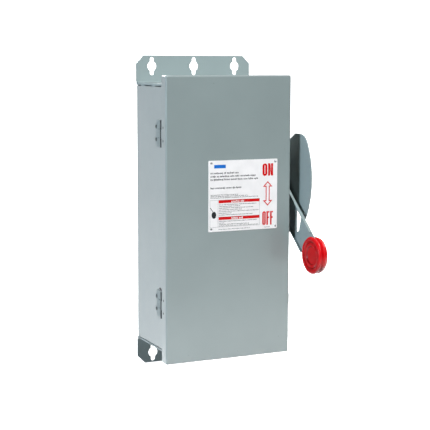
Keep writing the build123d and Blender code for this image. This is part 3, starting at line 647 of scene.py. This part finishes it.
# Height and right end of each line of small print in the two panels.
PANEL_LINES = (
    (44.9, 94),
    (42.0, 60),
    (39.1, 88),
    (36.2, 66),
    (33.3, 95),
    (30.4, 44),
    (27.4, 84),
    (16.6, 92),
    (13.8, 30),
    (11.2, 78),
    (8.6, 94),
)
grey = Print("nameplate_grey_ink", PLATE, grey_ink, "nameplate_face")
for end, z in ((56.0, 61.8), (76.5, 59.3), (94.0, 56.8)):
    grey.words(MARGIN, end, z, 1.5, draw)
grey.frame(PANEL_LEFT, PANEL_RIGHT, PANEL_LOW, PANEL_HIGH, RULE)
grey.bar(PANEL_MIDDLE, PANEL_MIDDLE + RULE, PANEL_LOW, PANEL_HIGH)
grey.bar(PANEL_MIDDLE + RULE, PANEL_RIGHT, PANEL_SPLIT, PANEL_SPLIT + RULE)
for z, end in PANEL_LINES:
    grey.words(19.5, end, z, 1.5, draw)
grey.words(19.0, 79.0, 3.0, 1.4, draw)
grey.words(106.0, 117.0, 2.6, 1.2, draw)
grey.done("door")

SHEET_LEFT, SHEET_RIGHT = 6, 104
TABLE_LOW, TABLE_HIGH = 70, 124
ROW = 9
PARAGRAPH_TOP = 60
LINE_SPACING = 5.2
notes = Print("door_sheet_ink", "door_sheet", dark_ink, "paper_sheet", facing=1)
notes.frame(SHEET_LEFT, SHEET_RIGHT, 6, 139, 0.5)
for row in range(6):
    rule = TABLE_LOW + ROW * row
    notes.bar(SHEET_LEFT, SHEET_RIGHT, rule, rule + RULE)
    for start, end in ((9, 38), (48, 70), (78, 99)):
        notes.words(start, end, rule + 2.6, 2.2, draw)
for column in (44, 74):
    notes.bar(column, column + RULE, TABLE_LOW, TABLE_HIGH)
notes.words(9, 80, 129, 4.2, draw)
for line in range(10):
    last = line % 3 == 2  # the last line of a paragraph is shorter
    notes.words(9, 84 if last else 101, PARAGRAPH_TOP - LINE_SPACING * line, 1.9, draw)
notes.done("door")


# ---- the stage: a pale floor that sweeps up behind, soft light and the camera ----
FLOOR = cad_low.z - 0.5 * MM
FLOOR_NEAR = -4.0
FLOOR_SIDE = 6
WALL = 3.4
WALL_TOP = 4.5
BEND_RADIUS = 1.2
BEND_STEPS = 24
POOL_EDGE = (-0.5, -0.1)  # X where the pool of light fades in
GLOW = 2.8  # strength of the floor's glow
EVEN_WHITE = (0.4, 0.4, 0.4)  # a little over full white at that strength


def sweep():
    """A white sheet that lies as the floor and curves up into a wall far behind.

    The camera sees it evenly white. In reflections it glows by distance along Y, most in a
    pool before the object, which gives the cover its gradient, and little to the left of it.
    """
    profile = [(FLOOR_NEAR, 0.0)]
    for i in range(BEND_STEPS + 1):
        angle = math.radians(90 * i / BEND_STEPS)
        y = WALL - BEND_RADIUS + BEND_RADIUS * math.sin(angle)
        profile.append((y, BEND_RADIUS - BEND_RADIUS * math.cos(angle)))
    profile.append((WALL, WALL_TOP))
    sides = (-FLOOR_SIDE, FLOOR_SIDE)
    made = bmesh.new()
    rows = [[made.verts.new((x, y, FLOOR + z)) for x in sides] for y, z in profile]
    for near, far in zip(rows, rows[1:]):
        made.faces.new((near[0], near[1], far[1], far[0])).smooth = True
    mesh = bpy.data.meshes.new("pale_floor")
    made.to_mesh(mesh)
    made.free()
    sheet = bpy.data.objects.new("pale_floor", mesh)
    bpy.context.scene.collection.objects.link(sheet)
    surface = Shader("floor_paper", (0.90, 0.90, 0.90), 0.8)
    surface.colour(surface.ramp(surface.noise(3, 2), (0.3, 0.89), (0.7, 0.91)))
    depth = surface.share(surface.along("Y"), FLOOR_NEAR, -FLOOR_NEAR)
    behind = ((0.52, 0.35), (0.60, 0.27))
    pool = surface.ramp(depth, (0.0, 0.03), (0.37, 0.05), (0.44, 1.0), (0.49, 1.0), *behind)
    beside = surface.ramp(depth, (0.0, 0.03), (0.44, 0.08), (0.49, 0.12), *behind)
    glow = surface.mix(surface.share(surface.along("X"), *POOL_EDGE), beside, pool)
    seen = surface.node("ShaderNodeLightPath").outputs["Is Camera Ray"]
    surface.link(surface.mix(seen, glow, EVEN_WHITE), surface.main.inputs["Emission Color"])
    surface.main.inputs["Emission Strength"].default_value = GLOW
    mesh.materials.append(surface.material)
    sheet.visible_diffuse = False


def soft_light(name, place, target, size, power, colour=(1, 1, 1)):
    """A square soft box that faces a point."""
    lamp = bpy.data.lights.new(name, "AREA")
    lamp.size = size
    lamp.energy = power
    lamp.color = colour
    light = bpy.data.objects.new(name, lamp)
    light.location = place
    light.rotation_euler = (Vector(target) - Vector(place)).to_track_quat("-Z", "Y").to_euler()
    light.visible_camera = False
    bpy.context.scene.collection.objects.link(light)


sweep()
MIDDLE = (0, 0, 0)
soft_light("left_box", (-2.5, -0.8, 0.5), MIDDLE, 0.6, 66, (0.78, 0.895, 1.0))
soft_light("front_box", (0.32, -2.7, 2.0), MIDDLE, 0.34, 117, (0.97, 1.0, 1.0))
soft_light("top_box", (0.32, 0.1, 2.4), MIDDLE, 0.4, 20)
soft_light("back_box", (0.14, 2.7, 1.3), MIDDLE, 0.6, 44)
soft_light("right_box", (2.6, 0.45, 0.9), (0.1, 0, 0), 0.6, 46)

# The room is dim, a little less so above, and plain white where the camera sees it.
ROOM_BELOW, ROOM_ABOVE = 0.005, 0.01
HORIZON = 0.25  # how far up and down the change between the two reaches
world = bpy.data.worlds.new("dim_studio")
world.use_nodes = True
sky = world.node_tree
height = sky.nodes.new("ShaderNodeSeparateXYZ")
above = sky.nodes.new("ShaderNodeMapRange")
above.inputs["From Min"].default_value = -HORIZON
above.inputs["From Max"].default_value = HORIZON
above.inputs["To Min"].default_value = ROOM_BELOW
above.inputs["To Max"].default_value = ROOM_ABOVE
sky.links.new(sky.nodes.new("ShaderNodeTexCoord").outputs["Generated"], height.inputs["Vector"])
sky.links.new(height.outputs["Z"], above.inputs["Value"])
brighter = sky.nodes.new("ShaderNodeMath")
brighter.operation = "MAXIMUM"
sky.links.new(above.outputs["Result"], brighter.inputs[0])
sky.links.new(sky.nodes.new("ShaderNodeLightPath").outputs["Is Camera Ray"], brighter.inputs[1])
sky.links.new(brighter.outputs["Value"], sky.nodes["Background"].inputs["Strength"])
sky.nodes["Background"].inputs["Color"].default_value = (1.0, 1.0, 1.0, 1)
bpy.context.scene.world = world
bpy.context.scene.view_settings.view_transform = "Standard"

# The camera stands to the left of the front and a little above, and looks down at the object.
YAW = math.radians(24.873)
PITCH = math.radians(7.393)
ROLL = math.radians(0.18)
camera = bpy.data.objects.new("camera", bpy.data.cameras.new("camera"))
camera.data.sensor_width = 36
camera.data.lens = 100.54
camera.data.clip_end = 50
camera.location = (-0.8736, -1.9781, 0.2694)
level = math.cos(PITCH)
forward = Vector((math.sin(YAW) * level, math.cos(YAW) * level, -math.sin(PITCH)))
turned = forward.to_track_quat("-Z", "Y") @ Quaternion((0, 0, 1), ROLL)
camera.rotation_euler = turned.to_euler()
bpy.context.scene.collection.objects.link(camera)
bpy.context.scene.camera = camera
